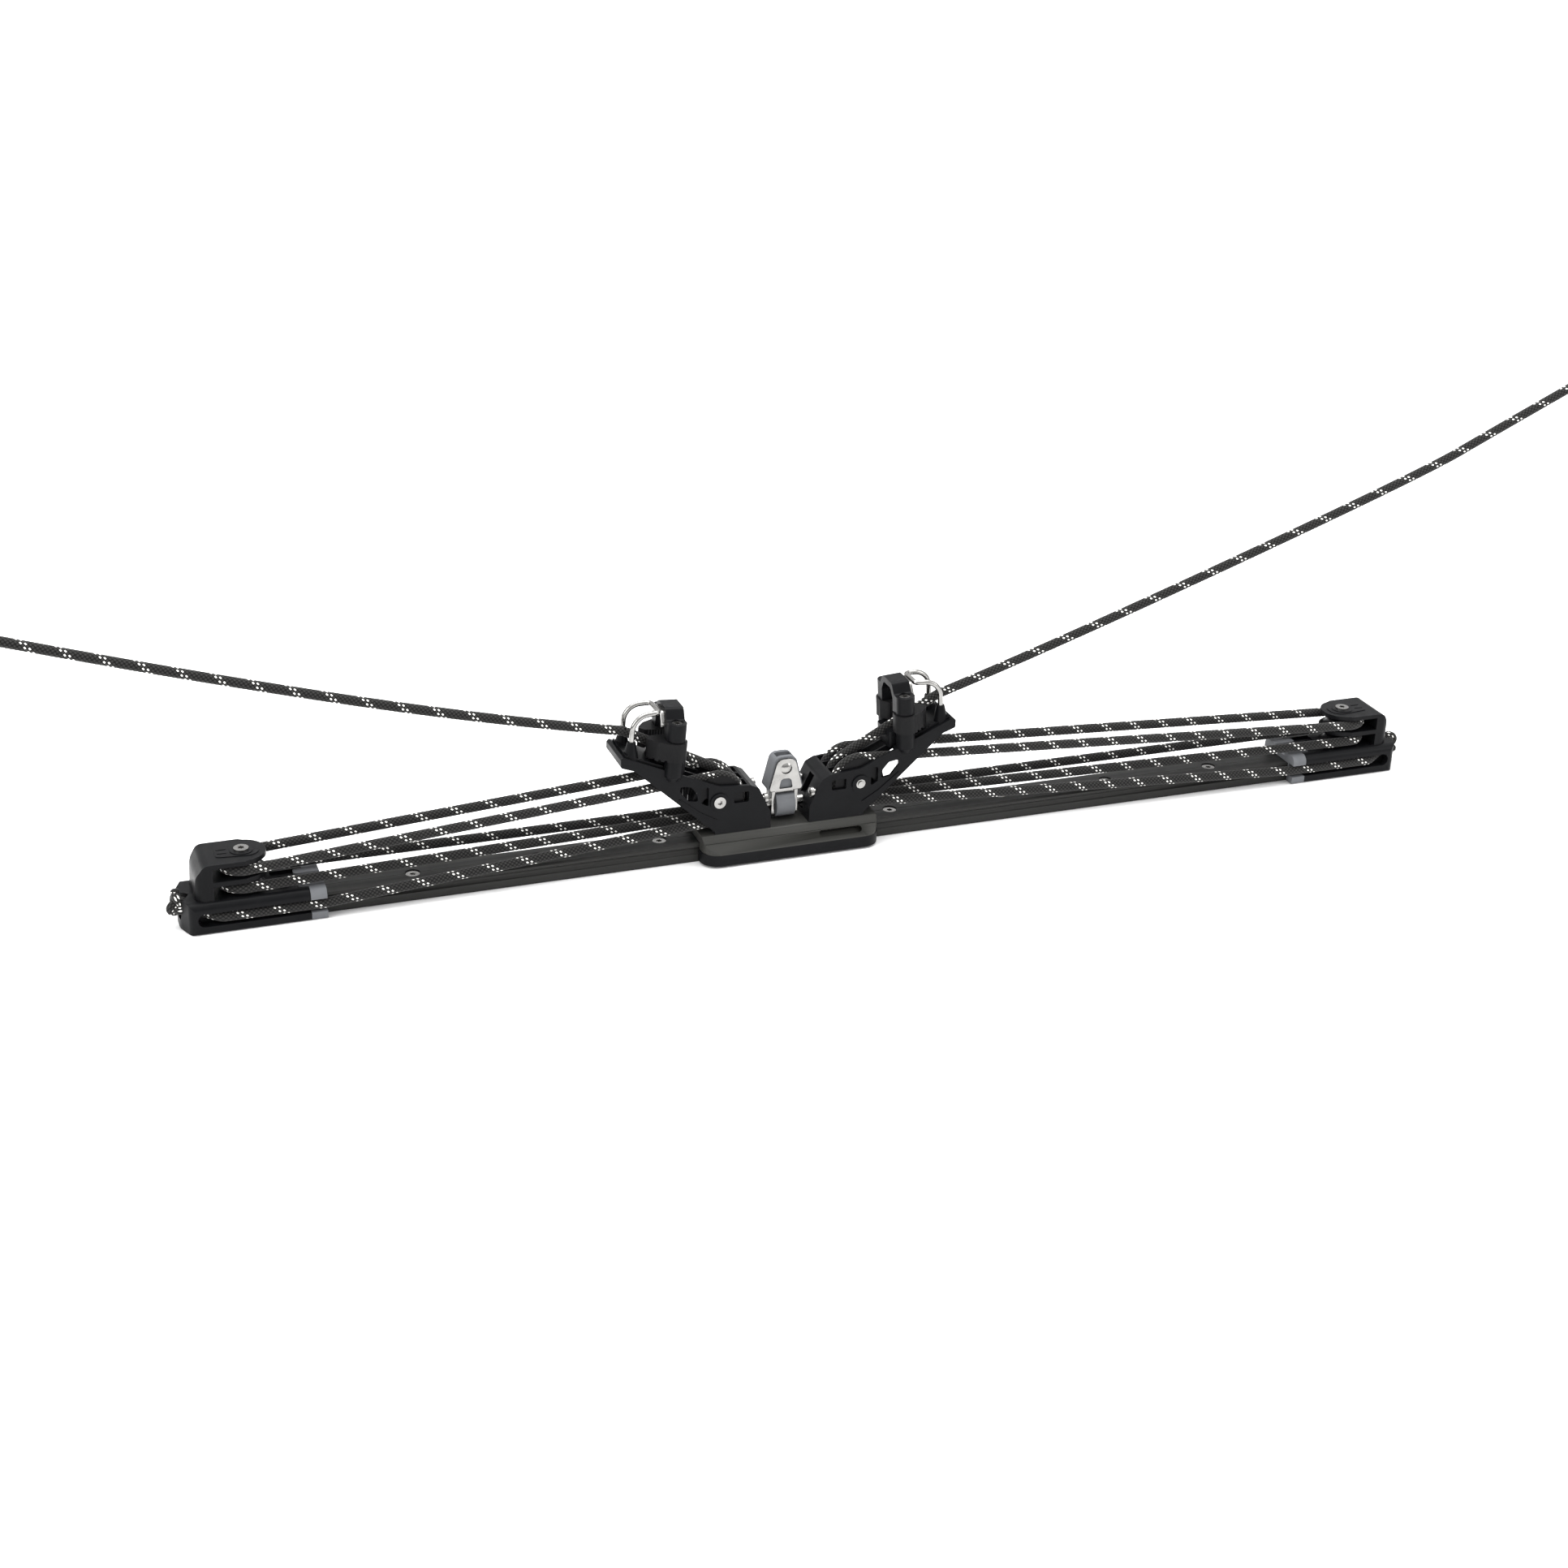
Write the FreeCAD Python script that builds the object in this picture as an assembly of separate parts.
import FreeCAD, Part
import math
import os

# Mainsheet traveller kit: a T-track, a ball carriage with two cleat arms and a mainsheet toggle, and
# two end fittings that carry a 5:1 control line on each side. Millimetres.
# X runs along the track, -Y is the front, Z is up. The origin is the middle of the track's underside.

os.makedirs("parts", exist_ok=True)
V = FreeCAD.Vector

# ---- driving dimensions -------------------------------------------------------------------------
TRACK_LENGTH = 1000.0
TRACK_WIDTH = 30.0
TRACK_HEIGHT = 16.0
TRACK_CHAMFER = 1.5
RACE_Z = 9.5
RACE_R = 3.2
HOLE_PITCH = 100.0
HOLE_COUNT = 10
BOLT_R = 3.0
BOLT_HOLE_R = 3.3
BOLT_HEAD_R = 5.75
BOLT_HEAD_CONE = 3.0
HEAD_RECESS = 0.8

ROPE_D = 8.0
ROPE_GAP = 0.3
LEG_GAP = 0.9

CAR_X = -46.0
CAR_LENGTH = 152.0
CAR_WIDTH = 66.0
CAR_FLAT_WIDTH = 41.0
CAR_TOP = 24.0
SKIRT_TOP = 11.0
SKIRT_BOTTOM = 1.5
CAR_CORNER_R = 14.0
BALL_R = 2.5
BALLS_PER_SIDE = 12

CAR_PITCH_R = 20.0
END_PITCH_R = 16.5
SHEAVE_WIDTH = 9.8
SHEAVE_LIP = 1.0
SLOT_WIDTH = 10.4
GROOVE_R = 4.55
AXLE_R = 4.0
RUN = 0.05

RIB = 2.0
CHEEK = 2.4
ARM_BACK = 16.5
ARM_LEAN = 17.5
ARM_FLOOR = 3.2
FLOOR_GAP = 1.3
BACK_WALL = 2.2
ARM_LENGTH = 142.0
ARM_SLOPE = 23.6
LINE_RISE = 28.3
PLATFORM_THICK = 5.5
PLATFORM_START = 30.0

CLEAT_TILT = 4.0
CLEAT_X = 37.7
CLEAT_LIFT = 9.7
POST_SPACING = 38.0
POST_R = 7.6
CLEAT_BOLT_R = 3.0
CLEAT_BOLT_LOW = -13.0
SCREW_SEAT = 29.0
CAM_R = 9.2
CAM_REACH = 22.0
CAM_HEIGHT = 15.5
CAM_GAP = 0.6
LEDGE_HEIGHT = 33.0
BRIDGE_HEIGHT = 41.5
BAND_WIDTH = 3.0
WIRE_R = 2.15
WIRE_X = 34.0
WIRE_FOOT = 15.5
WIRE_SPREAD = 24.0

END_INNER_X = 433.0
END_AXLE_X = 479.0
END_OUTER_X = 529.0
END_WIDTH = 49.0
TOWER_WIDTH = 40.0
WEB = 3.8
END_SLOT_GAP = 0.6
TOP_PLATE = 3.5
STOP_LENGTH = 12.5
FIT = 0.3
KNOT_SEAT_R = 10.0

TOGGLE_PIN_Z = 36.0
RIVET_Z = 69.0
BOOT_WIDTH = 16.0
BOOT_R = 11.6
FORK_THICK = 2.6
HEAD_DEPTH = 14.0
PLATE = 2.0

# ---- worked-out places --------------------------------------------------------------------------
ROPE_R = ROPE_D / 2
SHEAVE_PITCH_Y = SLOT_WIDTH + RIB
ARM_HALF = 1.5 * SLOT_WIDTH + RIB + CHEEK
SLOT_FLOOR_Z = CAR_TOP + ARM_FLOOR
AXLE_Z = SLOT_FLOOR_Z + FLOOR_GAP + ROPE_R + CAR_PITCH_R
SLOT_START = ARM_BACK + ARM_LEAN + BACK_WALL
AXLE_X = SLOT_START + ROPE_GAP + ROPE_R + CAR_PITCH_R
SLOPE = math.radians(ARM_SLOPE)
RISE = math.radians(LINE_RISE)
TILT = math.radians(CLEAT_TILT)
TOP_KNEE = (AXLE_X, AXLE_Z + 13.5)
TIP_LOW_Z = AXLE_Z + 28.0
SLOT_HALF_Z = SHEAVE_WIDTH / 2 + END_SLOT_GAP
END_TOP_Z = TRACK_HEIGHT + 8.9
TONGUE_TOP_Z = END_TOP_Z - 2.2
LOW_SHEAVE_Z = END_TOP_Z + SLOT_HALF_Z
TOP_SHEAVE_Z = LOW_SHEAVE_Z + 2 * SLOT_HALF_Z + WEB
TOWER_TOP_Z = TOP_SHEAVE_Z + SLOT_HALF_Z + TOP_PLATE
STOP_INNER_X = END_INNER_X - STOP_LENGTH
MOUTH_X = STOP_INNER_X + 0.8
DEAD_Y = -(TRACK_WIDTH / 2 + ROPE_R + 2.0)
DEAD_Z = 11.5
DEAD_HALF = ROPE_R + 1.3
LAST_HOLE_X = HOLE_PITCH * (HOLE_COUNT - 1) / 2
SHEAVE_ROWS = {"front": -SHEAVE_PITCH_Y, "middle": 0.0, "back": SHEAVE_PITCH_Y}
SIDES = {"left": -1, "right": 1}


def platform_z(x):
    """Height of the arm's sloping top above the track's underside, x from the carriage's middle."""
    return TOP_KNEE[1] + (x - TOP_KNEE[0]) * math.tan(SLOPE)


# The control line climbs from the top of the middle sheave to the cleat, steeper than the platform.
CLEAT_ORIGIN = V(AXLE_X + CLEAT_X, 0, platform_z(AXLE_X + CLEAT_X) + CLEAT_LIFT)
CLIMB_START = V(AXLE_X - CAR_PITCH_R * math.sin(RISE), 0, AXLE_Z + CAR_PITCH_R * math.cos(RISE))
CLIMB = V(math.cos(RISE), 0, math.sin(RISE))


# ---- helpers ------------------------------------------------------------------------------------
def place(plane, a, b, level):
    """A 2-D point of an outline, set in its plane at a level."""
    if plane == "xz":
        return V(a, level, b)
    if plane == "yz":
        return V(level, a, b)
    return V(a, b, level)


def corner(before, point, after, radius):
    """Tangent points and middle of the arc that rounds one corner."""
    one = (before - point).normalize()
    two = (after - point).normalize()
    half = one.getAngle(two) / 2
    reach = radius / math.tan(half)
    middle = point + (one + two).normalize() * (radius / math.sin(half) - radius)
    return point + one * reach, middle, point + two * reach


def outline(points, plane, level):
    """A closed wire through (a, b) or (a, b, corner radius) points."""
    spots = [place(plane, p[0], p[1], level) for p in points]
    radii = [p[2] if len(p) > 2 else 0.0 for p in points]
    starts, ends, arcs = [], [], []
    for i, spot in enumerate(spots):
        if radii[i] > 0:
            a, m, b = corner(spots[i - 1], spot, spots[(i + 1) % len(spots)], radii[i])
            arcs.append(Part.Arc(a, m, b).toShape())
        else:
            a, b = spot, spot
            arcs.append(None)
        starts.append(a)
        ends.append(b)
    edges = []
    for i in range(len(spots)):
        if arcs[i]:
            edges.append(arcs[i])
        after = starts[(i + 1) % len(spots)]
        if ends[i].distanceToPoint(after) > 1e-6:
            edges.append(Part.LineSegment(ends[i], after).toShape())
    return Part.Wire(edges)


def prism(points, plane, low, high):
    """The outline as a solid from one level to another, across its plane."""
    push = {"xz": V(0, high - low, 0), "yz": V(high - low, 0, 0), "xy": V(0, 0, high - low)}[plane]
    return Part.Face(outline(points, plane, low)).extrude(push)


def box(x0, x1, y0, y1, z0, z1):
    return Part.makeBox(x1 - x0, y1 - y0, z1 - z0, V(x0, y0, z0))


def rod(radius, start, end):
    return Part.makeCylinder(radius, (end - start).Length, start, end - start)


def fuse(shapes):
    return shapes[0].multiFuse(shapes[1:]).removeSplitter() if len(shapes) > 1 else shapes[0]


def bent_rod(points, radii, radius):
    """A round bar along straight runs joined by tangent arcs."""
    edges = []
    last = points[0]
    for i in range(1, len(points) - 1):
        a, m, b = corner(points[i - 1], points[i], points[i + 1], radii[i - 1])
        if last.distanceToPoint(a) > 1e-6:
            edges.append(Part.LineSegment(last, a).toShape())
        edges.append(Part.Arc(a, m, b).toShape())
        last = b
    edges.append(Part.LineSegment(last, points[-1]).toShape())
    path = Part.Wire(edges)
    section = Part.Wire([Part.Circle(points[0], points[1] - points[0], radius).toShape()])
    bar = path.makePipeShell([section], True, False)
    share = bar.Volume / (math.pi * radius**2 * path.Length)
    print("bar of radius %.1f, bends %s, volume share %.4f" % (radius, radii, share))
    return bar


def rope_turn(centre, axis, start, degrees):
    """The part of the line that lies round a sheave: a circle of rope swept about the axle."""
    section = Part.Face(Part.Wire([Part.Circle(start, axis.cross(start - centre), ROPE_R).toShape()]))
    return section.revolve(centre, axis, degrees)


def leg(start, end):
    """A straight stretch of line, a little short at both ends."""
    way = (end - start).normalize() * LEG_GAP
    return rod(ROPE_R, start + way, end - way)


def torx(radius, spot, axis, depth):
    """Six-lobed driver recess, to be cut out of a screw head."""
    side = axis.cross(V(1, 0, 0)) if abs(axis.x) < 0.9 else axis.cross(V(0, 1, 0))
    side.normalize()
    lobes = [rod(radius * 0.62, spot, spot - axis * depth)]
    for i in range(6):
        turn = FreeCAD.Rotation(axis, i * 60)
        here = spot + turn.multVec(side) * radius * 0.66
        lobes.append(rod(radius * 0.3, here, here - axis * depth))
    return fuse(lobes)


def mirrored(shape, side):
    return shape if side > 0 else shape.mirror(V(0, 0, 0), V(1, 0, 0))


def on_cleat(shape):
    """From the cleat's own frame to the carriage's."""
    turned = shape.copy()
    turned.rotate(V(0, 0, 0), V(0, 1, 0), -CLEAT_TILT)
    turned.translate(CLEAT_ORIGIN)
    return turned


def cleat_point(along, across, up):
    x = along * math.cos(TILT) - up * math.sin(TILT)
    z = along * math.sin(TILT) + up * math.cos(TILT)
    return CLEAT_ORIGIN + V(x, across, z)


def on_car(shape):
    moved = shape.copy()
    moved.translate(V(CAR_X, 0, 0))
    return moved


def save(name, shape):
    solids = shape.Solids
    whole = solids[0] if len(solids) == 1 else Part.makeCompound(solids)
    bad = "" if whole.isValid() else "  NOT VALID"
    print("%-26s %2d solids %9.1f mm3%s" % (name, len(solids), whole.Volume, bad))
    whole.exportStep("parts/" + name + ".step")


# ---- track --------------------------------------------------------------------------------------
def hole_places():
    return [HOLE_PITCH * (i - (HOLE_COUNT - 1) / 2) for i in range(HOLE_COUNT)]


def bolt_seat(x):
    """Clearance hole and countersink for one M6 screw."""
    top = TRACK_HEIGHT
    sunk = top - HEAD_RECESS
    hole = rod(BOLT_HOLE_R, V(x, 0, -1), V(x, 0, top + 1))
    wide = BOLT_HEAD_R + FIT
    cone = Part.makeCone(BOLT_HOLE_R, wide, BOLT_HEAD_CONE, V(x, 0, sunk - BOLT_HEAD_CONE))
    mouth = rod(wide, V(x, 0, sunk), V(x, 0, top + 1))
    return fuse([hole, cone, mouth])


def track():
    half = TRACK_WIDTH / 2
    c = TRACK_CHAMFER
    section = [(-half, 0), (half, 0), (half, TRACK_HEIGHT - c), (half - c, TRACK_HEIGHT),
               (c - half, TRACK_HEIGHT), (-half, TRACK_HEIGHT - c)]
    bar = prism(section, "yz", -TRACK_LENGTH / 2, TRACK_LENGTH / 2)
    cuts = []
    for side in (-1, 1):
        start = V(-TRACK_LENGTH / 2 - 1, side * (half + 1.0), RACE_Z)
        cuts.append(rod(RACE_R, start, start + V(TRACK_LENGTH + 2, 0, 0)))
    scribe = [(-0.5, TRACK_HEIGHT + 0.2), (0.5, TRACK_HEIGHT + 0.2), (0, TRACK_HEIGHT - 0.5)]
    cuts.append(prism(scribe, "yz", -TRACK_LENGTH / 2 - 1, TRACK_LENGTH / 2 + 1))
    cuts += [bolt_seat(x) for x in hole_places()]
    return bar.cut(cuts)


def track_screw(x):
    """M6 countersunk screw, its shank flush with the underside."""
    top = TRACK_HEIGHT - HEAD_RECESS
    head = Part.makeCone(BOLT_R, BOLT_HEAD_R, BOLT_HEAD_R - BOLT_R, V(x, 0, top - BOLT_HEAD_R + BOLT_R))
    shank = rod(BOLT_R, V(x, 0, 0), V(x, 0, top - BOLT_HEAD_R + BOLT_R + 0.1))
    return fuse([head, shank]).cut(torx(2.6, V(x, 0, top + 0.01), V(0, 0, 1), 2.0))


save("track", track())
save("track_screws", Part.makeCompound([track_screw(x) for x in hole_places()[1:-1]]))


# ---- sheaves ------------------------------------------------------------------------------------
def sheave(pitch_r, centre, axis):
    """Grooved wheel with a running bore and a ring of lightening holes."""
    rim = pitch_r + SHEAVE_LIP
    half = SHEAVE_WIDTH / 2
    bore = AXLE_R + RUN
    lip = GROOVE_R + 0.3
    low = V(pitch_r - GROOVE_R, 0, 0)
    points = [V(bore, 0, -half), V(rim, 0, -half), V(rim, 0, -lip), V(pitch_r, 0, -GROOVE_R)]
    edges = [Part.LineSegment(points[i], points[i + 1]).toShape() for i in range(3)]
    edges.append(Part.Arc(points[3], low, V(pitch_r, 0, GROOVE_R)).toShape())
    points = [V(pitch_r, 0, GROOVE_R), V(rim, 0, lip), V(rim, 0, half), V(bore, 0, half)]
    edges += [Part.LineSegment(points[i], points[i + 1]).toShape() for i in range(3)]
    edges.append(Part.LineSegment(points[3], V(bore, 0, -half)).toShape())
    wheel = Part.Face(Part.Wire(edges)).revolve(V(0, 0, 0), V(0, 0, 1), 360)
    web_r = (bore + pitch_r - GROOVE_R) / 2
    holes = []
    for i in range(6):
        angle = math.radians(60 * i)
        spot = V(web_r * math.cos(angle), web_r * math.sin(angle), -half - 1)
        holes.append(rod((pitch_r - GROOVE_R - bore) * 0.26, spot, spot + V(0, 0, SHEAVE_WIDTH + 2)))
    wheel = wheel.cut(holes)
    if abs(axis.y) > 0.5:
        wheel.rotate(V(0, 0, 0), V(1, 0, 0), 90)
    wheel.translate(centre)
    return wheel


# ---- carriage -----------------------------------------------------------------------------------
def car_plan(length, corner_r, low, high):
    x = length / 2
    y = CAR_WIDTH / 2
    return prism([(-x, -y, corner_r), (x, -y, corner_r), (x, y, corner_r), (-x, y, corner_r)], "xy", low, high)


def car_top():
    """Bevelled aluminium saddle with a scribed line and a grip slot in each bevel."""
    flat = CAR_FLAT_WIDTH / 2
    half = CAR_WIDTH / 2
    inner = TRACK_WIDTH / 2 + 0.6
    roof = TRACK_HEIGHT + 0.6
    section = [(-half, SKIRT_TOP), (-inner, SKIRT_TOP), (-inner, roof), (inner, roof), (inner, SKIRT_TOP),
               (half, SKIRT_TOP), (flat, CAR_TOP, 3.0), (-flat, CAR_TOP, 3.0)]
    length = CAR_LENGTH - 2.0
    body = prism(section, "yz", -length / 2, length / 2)
    body = body.common(car_plan(length, CAR_CORNER_R - 1.0, 0, CAR_TOP + 1))
    rise = CAR_TOP - SKIRT_TOP
    run = half - flat
    bevel = math.hypot(rise, run)
    normal = V(0, rise / bevel, run / bevel)
    cuts = []
    for side in (-1, 1):
        out = V(0, side * normal.y, normal.z)
        at = V(0, side * (flat + run * 0.42), CAR_TOP - rise * 0.42)
        cuts.append(rod(0.45, at + V(-length, 0, 0) - out * 0.1, at + V(length, 0, 0) - out * 0.1))
        low = V(0, side * (flat + run * 0.6), CAR_TOP - rise * 0.6)
        pill = [rod(2.9, low + V(x, 0, 0) + out * 4, low + V(x, 0, 0) - out * 4.4) for x in (26.0, 57.0)]
        bar = Part.makeBox(31.0, 5.8, 8.4, V(26.0, -2.9, -4.4))
        bar.rotate(V(0, 0, 0), V(1, 0, 0), -math.degrees(math.atan2(side * normal.y, normal.z)))
        bar.translate(low)
        turn = 1 if side < 0 else -1
        grip = fuse(pill + [bar])
        if turn < 0:
            grip = grip.mirror(V(0, 0, 0), V(1, 0, 0))
        cuts.append(grip)
    return body.cut(cuts)


def ball_places():
    span = CAR_LENGTH - 34.0
    step = span / (BALLS_PER_SIDE - 1)
    return [-span / 2 + step * i for i in range(BALLS_PER_SIDE)]


def car_skirt():
    """Black moulded skirt and end caps with the ball race."""
    inner = TRACK_WIDTH / 2 + 0.6
    body = car_plan(CAR_LENGTH, CAR_CORNER_R, SKIRT_BOTTOM, SKIRT_TOP)
    channel = box(-CAR_LENGTH, CAR_LENGTH, -inner, inner, 0, SKIRT_TOP + 1)
    races = []
    for side in (-1, 1):
        y = side * (TRACK_WIDTH / 2 + 1.0)
        x = CAR_LENGTH / 2 - 12.0
        races.append(box(-x, x, y - BALL_R - 0.4, y + BALL_R + 0.4, RACE_Z - BALL_R - 0.4, SKIRT_TOP + 1))
    return body.cut([channel] + races)


def car_balls():
    balls = []
    for side in (-1, 1):
        for x in ball_places():
            balls.append(Part.makeSphere(BALL_R, V(x, side * (TRACK_WIDTH / 2 + 1.0), RACE_Z)))
    return Part.makeCompound(balls)


TOP_POCKET = []
for race_side in (-1, 1):
    race_y = race_side * (TRACK_WIDTH / 2 + 1.0)
    race_x = CAR_LENGTH / 2 - 12.0
    TOP_POCKET.append(box(-race_x, race_x, race_y - BALL_R - 0.4, race_y + BALL_R + 0.4,
                          SKIRT_TOP - 1, RACE_Z + BALL_R + 0.5))
save("car_top", on_car(car_top().cut(TOP_POCKET)))
save("car_skirt", on_car(car_skirt()))
save("car_balls", on_car(car_balls()))


# ---- cleat arm, drawn for the right-hand side ---------------------------------------------------
PIN_R = AXLE_R
HANGER_Y = ARM_HALF - 4.6
HANGER_Z = TOGGLE_PIN_Z + 12.5
HANGER_SEAT_X = ARM_BACK + 4.6
HANGER_HEAD_R = 4.0


def arm_outline():
    tip_z = platform_z(ARM_LENGTH - 2.0)
    foot_x = AXLE_X + 3.5
    return [(ARM_BACK, CAR_TOP), (ARM_BACK + 0.3, AXLE_Z - 14.5, 3.0), (ARM_BACK + 10.5, AXLE_Z + 7.5, 4.0),
            (ARM_BACK + ARM_LEAN, AXLE_Z + 11.0, 3.0), (TOP_KNEE[0], TOP_KNEE[1], 12.0),
            (ARM_LENGTH - 2.0, tip_z, 1.2), (ARM_LENGTH, tip_z - 2.0, 1.2), (ARM_LENGTH, tip_z - 8.5, 2.0),
            (ARM_LENGTH - 11.0, tip_z - 12.5, 4.0),
            (foot_x, CAR_TOP + 2.5, 2.0), (foot_x - 0.5, CAR_TOP)]


def slot_outline():
    """Where a sheave and its lines run: open at the top, and below the platform."""
    start = TOP_KNEE[0] + PLATFORM_START
    drop = PLATFORM_THICK / math.cos(SLOPE)
    far = ARM_LENGTH + 20.0
    back_low = ARM_BACK + BACK_WALL + 6.0
    tip = ARM_LENGTH - 9.0
    return [(back_low + 10.0, SLOT_FLOOR_Z), (far, SLOT_FLOOR_Z), (far, TIP_LOW_Z), (tip, TIP_LOW_Z),
            (tip, platform_z(tip) - drop), (start, platform_z(start) - drop, 2.0), (start, CLEAT_ORIGIN.z + 60), (SLOT_START, CLEAT_ORIGIN.z + 60),
            (SLOT_START, AXLE_Z)]


def rib_window():
    """The ribs between the slots stop here, so light passes under the platform."""
    start = TOP_KNEE[0] + PLATFORM_START
    drop = PLATFORM_THICK / math.cos(SLOPE)
    tip = ARM_LENGTH - 9.0
    near = AXLE_X + CAR_PITCH_R + SHEAVE_LIP + 1.0
    return [(near, SLOT_FLOOR_Z), (tip, SLOT_FLOOR_Z), (tip, platform_z(tip) - drop),
            (start, platform_z(start) - drop), (near, AXLE_Z + 13.5)]


def hexagon_window():
    """Slanting six-sided window, outboard of the sheave."""
    x = AXLE_X
    z = AXLE_Z
    return [(x + 17.5, z + 2.5, 1.5), (x + 19.0, z + 10.0, 2.0), (x + 24.0, z + 16.0, 2.5), (x + 32.5, z + 17.5, 2.0),
            (x + 33.0, z + 13.0, 2.0), (x + 26.0, z + 4.0, 2.0)]


def arm():
    half = ARM_HALF
    body = prism(arm_outline(), "xz", -half, half)
    posts = []
    for side in (-1, 1):
        across = side * POST_SPACING / 2
        low = cleat_point(0, across, -CLEAT_LIFT - 6.5)
        high = cleat_point(0, across, 6.0)
        posts.append(Part.makeCone(4.6, POST_R, 4.5, low, high - low))
        posts.append(rod(POST_R, low + (high - low).normalize() * 4.5, high))
    far = ARM_LENGTH + 40.0
    knee = TOP_KNEE[0]
    above = prism([(knee, platform_z(knee)), (far, platform_z(far)), (far, 260), (knee, 260)], "xz", -60, 60)
    flares = [post.cut(above) for post in posts]
    boss = [rod(7.5, V(AXLE_X, side * (half - 1), AXLE_Z), V(AXLE_X, side * (half + 1.2), AXLE_Z)) for side in (-1, 1)]
    for side in (-1, 1):
        low, high = sorted((side * (half - 0.5), side * (half + 0.8)))
        line = [(AXLE_X + 1.5, AXLE_Z - 15.6), (AXLE_X + 2.2, AXLE_Z - 16.6), (AXLE_X + 16.2, AXLE_Z - 8.3),
                (AXLE_X + 33.6, AXLE_Z + 5.7), (AXLE_X + 33.0, AXLE_Z + 6.6), (AXLE_X + 15.7, AXLE_Z - 7.3)]
        boss.append(prism(line, "xz", low, high))
    body = fuse([body] + flares + boss)
    cuts = []
    for y in SHEAVE_ROWS.values():
        cuts.append(prism(slot_outline(), "xz", y - SLOT_WIDTH / 2, y + SLOT_WIDTH / 2))
    crown = AXLE_Z + CAR_PITCH_R + ROPE_R + 0.9
    way = [(AXLE_X, SLOT_FLOOR_Z + 5), (far, SLOT_FLOOR_Z + 5), (far, crown - 0.03 * (far - AXLE_X)), (AXLE_X, crown)]
    for y in (SHEAVE_ROWS["front"], SHEAVE_ROWS["back"]):
        cuts.append(prism(way, "xz", y - SLOT_WIDTH / 2, y + SLOT_WIDTH / 2))
    for side in (-1, 1):
        low, high = sorted((side * (half - CHEEK - 0.5), side * (half + 8)))
        window = [(AXLE_X - 25.0, AXLE_Z - 3.0, 1.5), (AXLE_X - 12.5, AXLE_Z - 3.0, 1.0),
                  (AXLE_X - 12.5, AXLE_Z + 6.0, 1.0), (AXLE_X - 25.0, AXLE_Z + 6.0, 1.0)]
        slit = [(AXLE_X + 9.0, AXLE_Z - 3.0, 1.0), (AXLE_X + 15.0, AXLE_Z + 0.5, 1.0),
                (AXLE_X + 15.0, AXLE_Z + 12.5, 1.0), (AXLE_X + 9.0, AXLE_Z + 14.0, 1.0)]
        cuts.append(prism(window, "xz", low, high))
        cuts.append(prism(slit, "xz", low, high))
        cuts.append(prism(hexagon_window(), "xz", low, high))
        cuts.append(rod(CLEAT_BOLT_R + 0.02, cleat_point(0, side * POST_SPACING / 2, CLEAT_BOLT_LOW - 0.3),
                        cleat_point(0, side * POST_SPACING / 2, 20.0)))
        seat = V(HANGER_SEAT_X, side * HANGER_Y, HANGER_Z)
        cuts.append(rod(HANGER_HEAD_R + 0.2, seat, seat - V(20, 0, 0)))
        cuts.append(rod(2.5, seat - V(1, 0, 0), seat + V(8, 0, 0)))
    cuts.append(prism(hexagon_window(), "xz", -half - 1, half + 1))
    inner = half - CHEEK
    cuts.append(prism(rib_window(), "xz", -inner, inner))
    cuts.append(rod(AXLE_R, V(AXLE_X, -half - 5, AXLE_Z), V(AXLE_X, half + 5, AXLE_Z)))
    cuts.append(rod(PIN_R, V(0, 0, TOGGLE_PIN_Z), V(ARM_BACK + 6.0, 0, TOGGLE_PIN_Z)))
    pocket = [(ARM_BACK - 1, CAR_TOP + 5), (ARM_BACK + 5.0, CAR_TOP + 5, 1.0), (ARM_BACK + 5.0, TOGGLE_PIN_Z + 2, 2.0),
              (ARM_BACK + 15.0, AXLE_Z + 5, 2.0), (ARM_BACK + 3.0, AXLE_Z + 5)]
    pin_wall = rod(PIN_R + 2.2, V(0, 0, TOGGLE_PIN_Z), V(ARM_BACK + 8.0, 0, TOGGLE_PIN_Z))
    cuts.append(prism(pocket, "xz", -SLOT_WIDTH / 2 + 0.5, SLOT_WIDTH / 2 - 0.5).cut(pin_wall))
    return body.cut(cuts)


def axle_pin(head_side):
    """Stainless sheave axle: a Torx head on one cheek, a small hexagon end on the other."""
    outer = ARM_HALF + 1.2
    y = head_side * outer
    pin = rod(AXLE_R, V(AXLE_X, y, AXLE_Z), V(AXLE_X, -head_side * (outer - 0.4), AXLE_Z))
    head = rod(AXLE_R + 0.9, V(AXLE_X, y, AXLE_Z), V(AXLE_X, y + head_side * 1.0, AXLE_Z))
    tail = rod(AXLE_R * 0.62, V(AXLE_X, -y, AXLE_Z), V(AXLE_X, -y - head_side * 0.7, AXLE_Z))
    tail = tail.fuse(rod(AXLE_R * 0.62, V(AXLE_X, -y + head_side, AXLE_Z), V(AXLE_X, -y, AXLE_Z)))
    recess = torx(2.2, V(AXLE_X, y + head_side * 1.01, AXLE_Z), V(0, head_side, 0), 1.6)
    return fuse([pin, head, tail]).cut(recess)


def hanger_bolts():
    bolts = []
    for side in (-1, 1):
        seat = V(HANGER_SEAT_X, side * HANGER_Y, HANGER_Z)
        head = rod(HANGER_HEAD_R, seat, seat - V(2.6, 0, 0))
        shank = rod(2.5, seat, seat + V(7.8, 0, 0))
        socket = prism([(seat.y + 1.6 * math.cos(math.radians(60 * i)), seat.z + 1.6 * math.sin(math.radians(60 * i)))
                        for i in range(6)], "yz", seat.x - 3.0, seat.x - 1.0)
        bolts.append(fuse([head, shank]).cut(socket))
    return Part.makeCompound(bolts)


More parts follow.
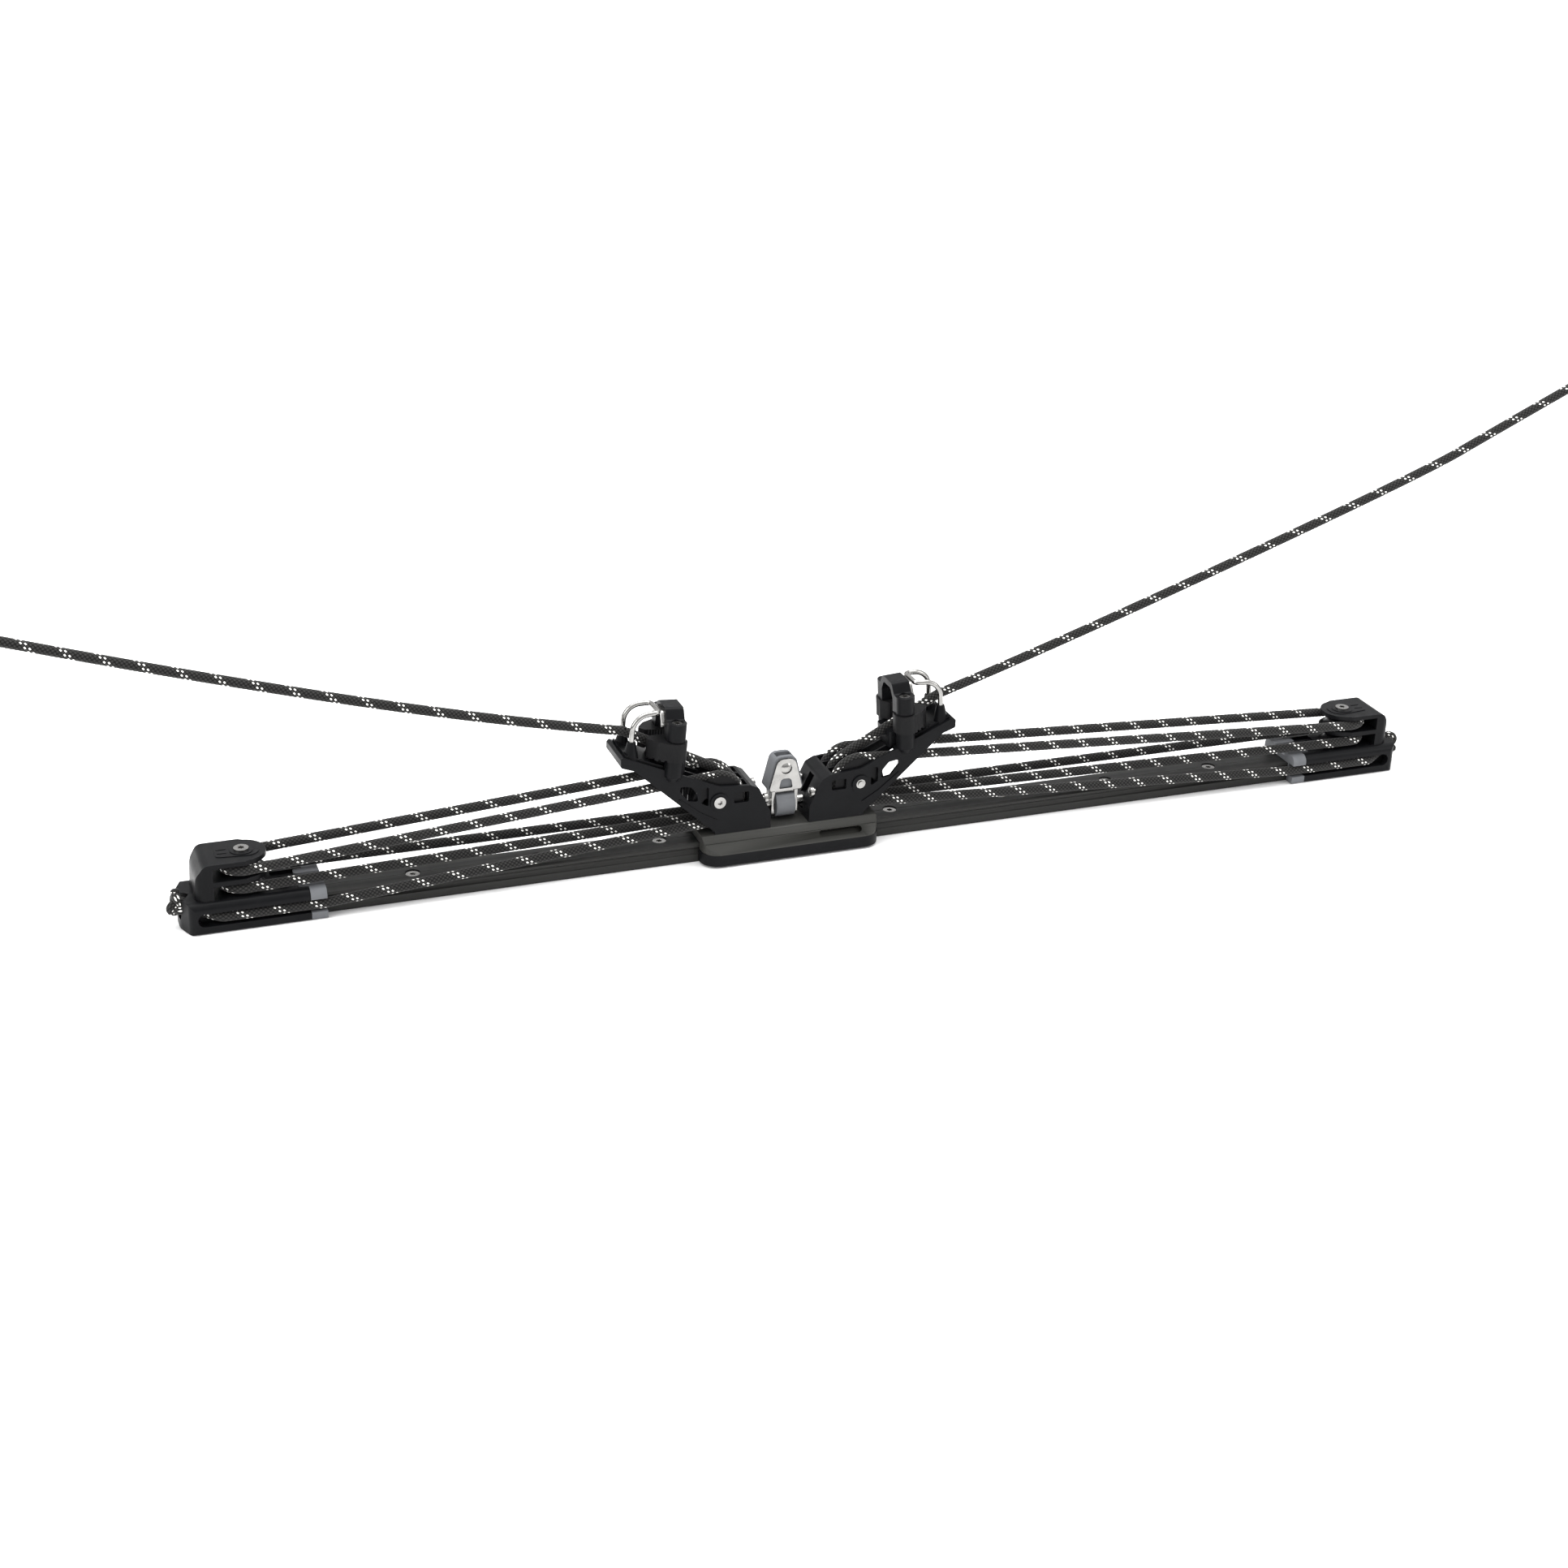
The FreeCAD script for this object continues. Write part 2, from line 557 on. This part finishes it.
# ---- cam cleat, in its own frame: x along the arm, y across, z up from the pedestal --------------
def climb_clearance():
    """The line's way over the platform, as a tool to cut with."""
    return rod(ROPE_R + 0.4, CLIMB_START, CLIMB_START + CLIMB * 120.0)


def cleat_base(arm_shape):
    """Wedge that levels the cleat on the sloping arm, with cone feet for the wire fairlead."""
    deep = -CLEAT_LIFT - 12.0
    pad = prism([(-12, -13, 2), (14, -13, 2), (14, 13, 2), (-12, 13, 2)], "xy", deep, 0.0)
    posts = [rod(POST_R, V(0, s * POST_SPACING / 2, deep), V(0, s * POST_SPACING / 2, 1.5)) for s in (-1, 1)]
    feet = [Part.makeCone(6.4, WIRE_R + 1.2, WIRE_FOOT - 1.0, V(WIRE_X, s * WIRE_SPREAD / 2, 1.0)) for s in (-1, 1)]
    near = CLEAT_ORIGIN.x + 8.0
    tail_x = CLEAT_ORIGIN.x + WIRE_X + 5.5
    shoe = prism([(near, platform_z(near) - 2), (tail_x, platform_z(tail_x) - 2), (tail_x, platform_z(tail_x) + 2.2),
                  (near, platform_z(near) + 2.2)], "xz", -17.0, 17.0)
    whole = fuse([on_cleat(fuse([pad] + posts)), on_cleat(Part.makeCompound(feet)), shoe])
    knee = TOP_KNEE[0]
    far = ARM_LENGTH + 40.0
    above = prism([(knee, platform_z(knee)), (far, platform_z(far)), (far, 260), (knee, 260)], "xz", -60, 60)
    cuts = [arm_shape, climb_clearance()]
    for s in (-1, 1):
        low = V(WIRE_X, s * WIRE_SPREAD / 2, WIRE_FOOT - 7.0)
        cuts.append(on_cleat(rod(WIRE_R, low, low + V(0, 0, 20))))
        post = V(0, s * POST_SPACING / 2, 0)
        cuts.append(on_cleat(rod(CLEAT_BOLT_R + 0.02, post + V(0, 0, deep - 5), post + V(0, 0, 20))))
    return whole.common(above).cut(cuts)


def cam(side):
    """Toothed cam; its lobe points outboard, so a pull on the line shuts it."""
    low = 1.5 + CAM_GAP
    reach = POST_SPACING / 2 - ROPE_R - ROPE_GAP - 0.05
    far = CAM_REACH
    shape = [(-8.6, -4.0, 3), (-8.8, 5.0, 4), (-4.0, reach - 1.2, 3.0), (7.0, reach, 9.0), (far - 4.0, reach - 1.8, 3.0),
             (far, reach - 7.0, 2.5), (far - 7.0, -2.0, 8.0), (5.0, -8.4, 6.0)]
    shape = [(p[0], -side * p[1], p[2]) for p in shape]
    body = prism(shape, "xy", low, low + CAM_HEIGHT)
    hub = rod(CAM_R, V(0, 0, low), V(0, 0, low + CAM_HEIGHT))
    teeth = []
    for i in range(9):
        spot = V(-2.0 + 2.2 * i, -side * (reach + 0.25 - 0.014 * (2.2 * i - 8.5) ** 2), low - 1)
        teeth.append(rod(0.6, spot, spot + V(0, 0, CAM_HEIGHT + 2)))
    for i in range(3):
        x = 8.0 + 4.2 * i
        y = -side * (1.0 + 1.1 * i)
        teeth.append(box(x, x + 2.0, min(y, y + side * 12), max(y, y + side * 12), low - 1, low + 1.4))
    body = fuse([body, hub]).cut(teeth + [rod(CLEAT_BOLT_R + RUN, V(0, 0, 0), V(0, 0, 40))])
    body.translate(V(0, side * POST_SPACING / 2, 0))
    return on_cleat(body)


def bridge():
    """Cap over both cams: two round feet with a counterbored screw each, and an arch between them."""
    out = POST_SPACING / 2 + POST_R
    inn = POST_SPACING / 2 - POST_R
    low = 1.5 + 2 * CAM_GAP + CAM_HEIGHT
    top = BRIDGE_HEIGHT
    ledge = LEDGE_HEIGHT
    section = [(-out, low), (-out, ledge, 1.0), (-14.5, ledge, 2.0), (-9.5, top, 4.0), (9.5, top, 4.0),
               (14.5, ledge, 2.0), (out, ledge, 1.0), (out, low), (inn, low), (inn, ledge - 4.0, 4.0),
               (7.0, top - 5.0, 4.0), (-7.0, top - 5.0, 4.0), (-inn, ledge - 4.0, 4.0), (-inn, low)]
    arch = prism(section, "yz", -POST_R, POST_R)
    soft = POST_R - 0.2
    plan = prism([(-POST_R, -out, soft), (POST_R, -out, soft), (POST_R, out, soft), (-POST_R, out, soft)], "xy", 0, 80)
    cuts = []
    for s in (-1, 1):
        y = s * POST_SPACING / 2
        cuts.append(rod(CLEAT_BOLT_R + 0.02, V(0, y, 0), V(0, y, 60)))
        cuts.append(rod(4.8, V(0, y, SCREW_SEAT), V(0, y, 60)))
    return on_cleat(arch.common(plan).cut(cuts))


def cleat_screws():
    screws = []
    for s in (-1, 1):
        y = s * POST_SPACING / 2
        top = SCREW_SEAT + 3.4
        body = fuse([rod(CLEAT_BOLT_R, V(0, y, CLEAT_BOLT_LOW), V(0, y, SCREW_SEAT)),
                     rod(4.5, V(0, y, SCREW_SEAT), V(0, y, top))])
        screws.append(body.cut(torx(2.4, V(0, y, top + 0.01), V(0, 0, 1), 1.8)))
    return on_cleat(Part.makeCompound(screws))


def cleat_band():
    """Stainless wear strip along the arch's outboard edge, curled at its low ends."""
    inn = POST_SPACING / 2 - POST_R
    low = LEDGE_HEIGHT - 4.0
    top = BRIDGE_HEIGHT - 2.9
    strip = [(-inn - 1.9, low), (-8.6, top, 4.5), (8.6, top, 4.5), (inn + 1.9, low), (inn - 0.3, low),
             (7.0, top - 2.2, 3.5), (-7.0, top - 2.2, 3.5), (0.3 - inn, low)]
    near = POST_R + 0.05
    parts = [prism(strip, "yz", near, near + BAND_WIDTH)]
    for s in (-1, 1):
        parts.append(rod(1.7, V(near, s * (inn + 0.6), low - 0.6), V(near + BAND_WIDTH, s * (inn + 0.6), low - 0.6)))
    return on_cleat(fuse(parts))


def fairlead():
    """Bent stainless wire that keeps the tail over the arm's tip."""
    half = WIRE_SPREAD / 2
    join = POST_R + 0.1 + BAND_WIDTH + WIRE_R
    top = BRIDGE_HEIGHT - 3.0
    low = WIRE_FOOT - 7.0
    points = [V(WIRE_X, -half, low), V(WIRE_X, -half, top - 2), V(join, -half + 1, top), V(join, half - 1, top),
              V(WIRE_X, half, top - 2), V(WIRE_X, half, low)]
    return on_cleat(bent_rod(points, [14.0, 4.0, 4.0, 14.0], WIRE_R))


# ---- control line on the carriage, drawn for the right-hand side --------------------------------
def car_turn(y):
    """Half a turn round a carriage sheave, from its lowest to its highest point."""
    centre = V(AXLE_X, y, AXLE_Z)
    return rope_turn(centre, V(0, 1, 0), centre - V(0, 0, CAR_PITCH_R), 180)


def cleated_line():
    """Round the middle sheave, then up through the cleat to where the tail starts."""
    centre = V(AXLE_X, 0, AXLE_Z)
    turn = rope_turn(centre, V(0, 1, 0), centre - V(0, 0, CAR_PITCH_R), 180 - LINE_RISE)
    return [turn, rod(ROPE_R, CLIMB_START, TAIL_START - CLIMB * 0.6)]


TAIL_START = CLIMB_START + CLIMB * ((CLEAT_ORIGIN.x + WIRE_X + 2.0 - CLIMB_START.x) / math.cos(RISE))


# Where each pulled-tight tail goes after the cleat, measured from the carriage's middle and up from
# the track's underside. A taut line still sags a little, and the right one has a slight kink.
TAIL_ROUTE = {
    "left": [(242.0, 136.5), (479.0, 203.5), (599.0, 242.5)],
    "right": [(237.0, 146.0), (572.0, 265.0), (643.5, 299.0), (721.0, 335.0)],
}
TAIL_BENDS = {"left": [400.0, 600.0], "right": [400.0, 250.0, 250.0]}


def tail_points(name):
    return [TAIL_START] + [V(x, 0, z) for x, z in TAIL_ROUTE[name]]


def stopper(centre, along, size):
    """Figure-eight stopper knot as three crossed rings of line, fused into one lump."""
    side = along.cross(V(0, 1, 0))
    side.normalize()
    up = along.cross(side)
    rings = []
    for offset, tilt in ((-0.45, 35), (0.0, -30), (0.45, 40)):
        turn = FreeCAD.Rotation(up, tilt)
        axis = turn.multVec(along)
        rings.append(Part.makeTorus(size * 0.58, ROPE_R * 0.8, centre + along * (offset * size), axis))
    core = rod(ROPE_R * 0.95, centre - along * size * 1.35, centre + along * size)
    return fuse(rings + [core])


arm_shape = arm()
for name, sign in SIDES.items():
    def put(node, shape):
        save(node + "_" + name, on_car(mirrored(shape, sign)))

    put("arm", arm_shape)
    put("arm_axle", axle_pin(-1 if sign < 0 else 1))
    put("hanger_bolts", hanger_bolts())
    for row, row_y in SHEAVE_ROWS.items():
        put("car_sheave_" + row, sheave(CAR_PITCH_R, V(AXLE_X, row_y, AXLE_Z), V(0, 1, 0)))
    put("cleat_base", cleat_base(arm_shape))
    put("cam_front", cam(-1))
    put("cam_back", cam(1))
    put("cleat_bridge", bridge())
    put("cleat_screws", cleat_screws())
    put("cleat_band", cleat_band())
    put("fairlead", fairlead())
    turns = [car_turn(SHEAVE_ROWS["front"]), car_turn(SHEAVE_ROWS["back"])]
    put("line_on_car", Part.makeCompound(turns + [fuse(cleated_line())]))
    route = tail_points(name)
    put("tail", bent_rod(route, TAIL_BENDS[name], ROPE_R))
    way = (route[-1] - route[-2]).normalize()
    put("tail_knot", stopper(route[-1] + way * 8.0 * 1.35, way, 8.0))


# ---- mainsheet toggle ---------------------------------------------------------------------------
def toggle_pin():
    reach = ARM_BACK + 5.5
    return rod(PIN_R - 0.02, V(-reach, 0, TOGGLE_PIN_Z), V(reach, 0, TOGGLE_PIN_Z))


CROWN_Z = TOGGLE_PIN_Z + 12.5
HEAD_LOW_Z = RIVET_Z - 19.0
HEAD_TOP_Z = RIVET_Z + 8.2
RIVET_R = 3.0


def fork():
    """Two steel legs, a crown and the tongue that the head swings on."""
    inner = BOOT_WIDTH / 2 + 0.4
    shape = [(-7.0, TOGGLE_PIN_Z - 9.5, 3.0), (7.0, TOGGLE_PIN_Z - 9.5, 3.0), (6.8, CROWN_Z), (-6.8, CROWN_Z)]
    legs = [prism(shape, "yz", x, x + FORK_THICK) for x in (-inner - FORK_THICK, inner)]
    crown = box(-inner - FORK_THICK, inner + FORK_THICK, -5.0, 5.0, CROWN_Z - 2.2, CROWN_Z)
    tongue = prism([(-4, CROWN_Z - 1), (4, CROWN_Z - 1), (5.5, RIVET_Z + 5.5, 4.8), (-5.5, RIVET_Z + 5.5, 4.8)],
                   "xz", -3.0, 3.0)
    bores = [rod(PIN_R + RUN, V(-40, 0, TOGGLE_PIN_Z), V(40, 0, TOGGLE_PIN_Z)),
             rod(RIVET_R + RUN, V(0, -20, RIVET_Z), V(0, 20, RIVET_Z))]
    return fuse(legs + [crown, tongue]).cut(bores)


def boot():
    """Grey rounded block between the fork's legs."""
    top = CROWN_Z - 2.5
    z = TOGGLE_PIN_Z
    half = BOOT_WIDTH / 2
    shape = [(-BOOT_R, z), (BOOT_R, z), (8.5, top, 2.0), (-8.5, top, 2.0)]
    body = fuse([prism(shape, "yz", -half, half), rod(BOOT_R, V(-half, 0, z), V(half, 0, z))])
    body = body.common(box(-half, half, -20, 20, 0, top))
    return body.cut(rod(PIN_R + RUN, V(-40, 0, TOGGLE_PIN_Z), V(40, 0, TOGGLE_PIN_Z)))


def head_outline(grow):
    return [(-14.3 - grow, HEAD_LOW_Z, 2.0), (14.3 + grow, HEAD_LOW_Z, 2.0), (7.2 + grow, HEAD_TOP_Z + grow, 6.6),
            (-7.2 - grow, HEAD_TOP_Z + grow, 6.6)]


def head_block():
    """Grey head with a well for the tongue, open at the top for the mainsheet block's post."""
    body = prism(head_outline(1.4), "xz", -HEAD_DEPTH / 2, HEAD_DEPTH / 2)
    well = prism([(-10.5, HEAD_LOW_Z - 2), (10.5, HEAD_LOW_Z - 2), (6.6, RIVET_Z + 7.0), (6.6, HEAD_TOP_Z + 5),
                  (-6.6, HEAD_TOP_Z + 5), (-6.6, RIVET_Z + 7.0)], "xz", -3.4, 3.4)
    return body.cut([well, rod(RIVET_R, V(0, -20, RIVET_Z), V(0, 20, RIVET_Z))])


def head_plate(side):
    near = side * (HEAD_DEPTH / 2 + 0.05)
    low, high = sorted((near, near + side * PLATE))
    base = HEAD_LOW_Z + 1.6
    window = [(-5.9, base, 1.2), (5.9, base, 1.2), (4.2, base + 8.6, 3.2), (-4.2, base + 8.6, 3.2)]
    plate = prism(head_outline(0), "xz", low, high)
    return plate.cut([prism(window, "xz", low - 1, high + 1), rod(RIVET_R, V(0, -20, RIVET_Z), V(0, 20, RIVET_Z))])


def rivet():
    reach = HEAD_DEPTH / 2 + 0.05 + PLATE
    shank = rod(RIVET_R - 0.02, V(0, -reach, RIVET_Z), V(0, reach, RIVET_Z))
    heads = []
    for s in (-1, 1):
        ball = Part.makeSphere(8.0, V(0, s * (reach + 1.6 - 8.0), RIVET_Z))
        heads.append(ball.common(rod(4.8, V(0, s * reach, RIVET_Z), V(0, s * (reach + 2.0), RIVET_Z))))
    return fuse([shank] + heads)


save("toggle_pin", on_car(toggle_pin()))
save("toggle_fork", on_car(fork()))
save("toggle_boot", on_car(boot()))
save("head_block", on_car(head_block()))
save("head_plate_front", on_car(head_plate(-1)))
save("head_plate_back", on_car(head_plate(1)))
save("head_rivet", on_car(rivet()))


# ---- end fitting, drawn for the right-hand side -------------------------------------------------
def dead_end_route():
    """The line's standing part, from the slot's inboard mouth to the stopper knot outside."""
    knot = V(END_OUTER_X - 3.0, -7.0, 17.5)
    return [V(MOUTH_X, DEAD_Y, DEAD_Z), V(END_AXLE_X + 20.0, DEAD_Y, DEAD_Z), knot]


def dead_slot(inner, outer, reach):
    """Rounded slot along the front for the standing part."""
    return prism([(inner, DEAD_Z - DEAD_HALF), (outer, DEAD_Z - DEAD_HALF, DEAD_HALF - 0.1),
                  (outer, DEAD_Z + DEAD_HALF, DEAD_HALF - 0.1), (inner, DEAD_Z + DEAD_HALF)],
                 "xz", -reach, DEAD_Y + ROPE_R + 0.4)


def end_section(low_x, high_x):
    half = END_WIDTH / 2
    return prism([(-half, 0, 1.5), (half, 0, 1.5), (half, END_TOP_Z, 6.0), (-half, END_TOP_Z, 6.0)], "yz", low_x, high_x)


def end_base():
    """Sleeve over the track's end with the two-storey tower that holds the sheaves."""
    half = END_WIDTH / 2
    plan = prism([(END_INNER_X, -half), (END_OUTER_X - 7, -half, 6), (END_OUTER_X, -8, 18), (END_OUTER_X, 8, 18),
                  (END_OUTER_X - 7, half, 6), (END_INNER_X, half)], "xy", -1, END_TOP_Z + 1)
    base = end_section(END_INNER_X, END_OUTER_X + 1).common(plan)
    wide = TOWER_WIDTH / 2
    wall_x = END_AXLE_X + END_PITCH_R + ROPE_R + 4.0
    out_x = wall_x + 14.0
    nose_r = END_PITCH_R + SHEAVE_LIP + 0.8
    sides = prism([(END_AXLE_X, -wide), (out_x, -wide, 8), (out_x, wide, 8), (END_AXLE_X, wide)], "xy",
                  END_TOP_Z - 2, TOWER_TOP_Z)
    nose = rod(nose_r, V(END_AXLE_X, 0, END_TOP_Z - 2), V(END_AXLE_X, 0, TOWER_TOP_Z))
    cheek = prism([(END_AXLE_X - nose_r * 0.2, -nose_r * 0.98), (END_AXLE_X, -wide), (END_AXLE_X, wide),
                   (END_AXLE_X - nose_r * 0.2, nose_r * 0.98)], "xy", END_TOP_Z - 2, TOWER_TOP_Z)
    shape = [(END_AXLE_X - 30, END_TOP_Z - 2), (out_x, END_TOP_Z - 2), (out_x - 1.5, TOWER_TOP_Z - 10, 12),
             (out_x - 8, TOWER_TOP_Z, 7), (END_AXLE_X - 30, TOWER_TOP_Z)]
    tower = fuse([sides, nose, cheek]).common(prism(shape, "xz", -40, 40))
    boss = rod(9.0, V(END_AXLE_X, 0, TOWER_TOP_Z - 1), V(END_AXLE_X, 0, TOWER_TOP_Z + 1.0))
    island = prism([(END_AXLE_X - 13, -12, 9.5), (END_AXLE_X + 20, -8, 3), (END_AXLE_X + 20, 8, 3),
                    (END_AXLE_X - 13, 12, 9.5)], "xy", TOWER_TOP_Z - 1, TOWER_TOP_Z + 0.5)
    hole_boss = rod(8.0, V(LAST_HOLE_X, 0, TRACK_HEIGHT + 2), V(LAST_HOLE_X, 0, END_TOP_Z))
    tongue = box(END_INNER_X - 1, END_AXLE_X - nose_r - 3, -16, 16, TONGUE_TOP_Z, END_TOP_Z + 5)
    base = fuse([base.cut(tongue), hole_boss])
    body = fuse([base, tower, boss, island])
    cuts = [box(END_INNER_X - 1, TRACK_LENGTH / 2 + FIT, -TRACK_WIDTH / 2 - FIT, TRACK_WIDTH / 2 + FIT, -1,
                TRACK_HEIGHT + FIT),
            dead_slot(END_INNER_X - 1, END_AXLE_X + 38.0, half + 1)]
    for z in (LOW_SHEAVE_Z, TOP_SHEAVE_Z):
        low = z - SLOT_HALF_Z
        cuts.append(prism([(END_AXLE_X - 40, -30), (wall_x, -30, 3), (wall_x, 30, 3), (END_AXLE_X - 40, 30)], "xy",
                          low, z + SLOT_HALF_Z))
    cuts.append(rod(AXLE_R, V(END_AXLE_X, 0, TRACK_HEIGHT + 1.5), V(END_AXLE_X, 0, TOWER_TOP_Z + 5)))
    cuts.append(rod(BOLT_HOLE_R, V(LAST_HOLE_X, 0, 10), V(LAST_HOLE_X, 0, 40)))
    cuts.append(rod(BOLT_HEAD_R + FIT, V(LAST_HOLE_X, 0, TRACK_HEIGHT + 5.5), V(LAST_HOLE_X, 0, 40)))
    cuts.append(bent_rod(dead_end_route(), [14.0], ROPE_R + 0.4))
    exit_way = dead_end_route()[-1] - dead_end_route()[-2]
    knot_seat = dead_end_route()[-1] - exit_way.normalize() * 1.5
    cuts.append(rod(KNOT_SEAT_R, knot_seat, knot_seat + exit_way.normalize() * 30.0))
    for y in (-4.0, 2.5):
        x = END_AXLE_X + 11.0
        ring = box(x, x + 7.5, y, y + 1.5, TOWER_TOP_Z + 0.1, TOWER_TOP_Z + 2)
        cuts.append(ring)
    return body.cut(cuts)


def end_axle():
    """Sheave axle screwed down from the tower's top."""
    top = TOWER_TOP_Z + 1.0
    shank = rod(AXLE_R - 0.02, V(END_AXLE_X, 0, TRACK_HEIGHT + 2.0), V(END_AXLE_X, 0, top))
    head = rod(5.7, V(END_AXLE_X, 0, top), V(END_AXLE_X, 0, top + 1.4))
    return fuse([shank, head]).cut(torx(2.6, V(END_AXLE_X, 0, top + 1.41), V(0, 0, 1), 2.0))


def end_stop():
    """Grey buffer round the track, inboard of the end fitting."""
    body = end_section(STOP_INNER_X, END_INNER_X - 0.2)
    ears = []
    for side in (-1, 1):
        ear = [(STOP_INNER_X + 1, side * 8.0), (END_INNER_X + 7.0, side * 8.0, 2), (END_INNER_X + 7.0, side * 15.4, 2),
               (STOP_INNER_X + 1, side * 15.4)]
        ears.append(prism(ear, "xy", TONGUE_TOP_Z + 0.2, END_TOP_Z))
    cuts = [box(0, 600, -TRACK_WIDTH / 2 - FIT, TRACK_WIDTH / 2 + FIT, -1, TRACK_HEIGHT + FIT),
            dead_slot(STOP_INNER_X - 20, END_INNER_X + 30, END_WIDTH),
            box(0, 600, -8.0, 8.0, TRACK_HEIGHT + 4.5, 60)]
    return fuse([body.cut(cuts)] + ears)


def line_at_end():
    """The two half turns round the end sheaves and the standing part in its slot."""
    turns = []
    for z in (LOW_SHEAVE_Z, TOP_SHEAVE_Z):
        centre = V(END_AXLE_X, 0, z)
        turns.append(rope_turn(centre, V(0, 0, 1), centre - V(0, END_PITCH_R, 0), 180))
    turns.append(bent_rod(dead_end_route(), [14.0], ROPE_R))
    return Part.makeCompound(turns)


STUB = {"left": V(0.06, 0.10, 1.0), "right": V(0.10, 1.0, -0.12)}
for name, sign in SIDES.items():
    save("end_base_" + name, mirrored(end_base(), sign))
    save("end_axle_" + name, mirrored(end_axle(), sign))
    save("end_stop_" + name, mirrored(end_stop(), sign))
    for level, height in (("low", LOW_SHEAVE_Z), ("top", TOP_SHEAVE_Z)):
        wheel = sheave(END_PITCH_R, V(END_AXLE_X, 0, height), V(0, 0, 1))
        save("end_sheave_%s_%s" % (level, name), mirrored(wheel, sign))
    save("line_at_end_" + name, mirrored(line_at_end(), sign))
    last = dead_end_route()
    into = (last[-1] - last[-2]).normalize()
    knot_at = last[-1] + into * 7.2
    stub_way = STUB[name].normalize()
    stub = rod(ROPE_R, knot_at + stub_way * 4.0, knot_at + stub_way * 25.0)
    lump = stopper(knot_at, V(0.45, 0.1, 1.0).normalize(), 5.6).fuse(rod(ROPE_R, last[-1], knot_at))
    save("line_knot_" + name, mirrored(fuse([lump, stub]), sign))


# ---- the moving parts of the line between carriage and ends --------------------------------------
def legs(sign):
    """Five stretches of one side's control line, as tangents between sheaves."""
    x = CAR_X + sign * AXLE_X
    end_x = sign * END_AXLE_X
    low = AXLE_Z - CAR_PITCH_R
    high = AXLE_Z + CAR_PITCH_R
    rows = SHEAVE_ROWS
    mouth = V(sign * MOUTH_X, DEAD_Y, DEAD_Z)
    pairs = [(V(x, rows["front"], low), mouth),
             (V(x, rows["front"], high), V(end_x, -END_PITCH_R, TOP_SHEAVE_Z)),
             (V(x, rows["back"], high), V(end_x, END_PITCH_R, TOP_SHEAVE_Z)),
             (V(x, rows["back"], low), V(end_x, END_PITCH_R, LOW_SHEAVE_Z)),
             (V(x, rows["middle"], low), V(end_x, -END_PITCH_R, LOW_SHEAVE_Z))]
    return Part.makeCompound([leg(a, b) for a, b in pairs])


for name, sign in SIDES.items():
    save("line_legs_" + name, legs(sign))
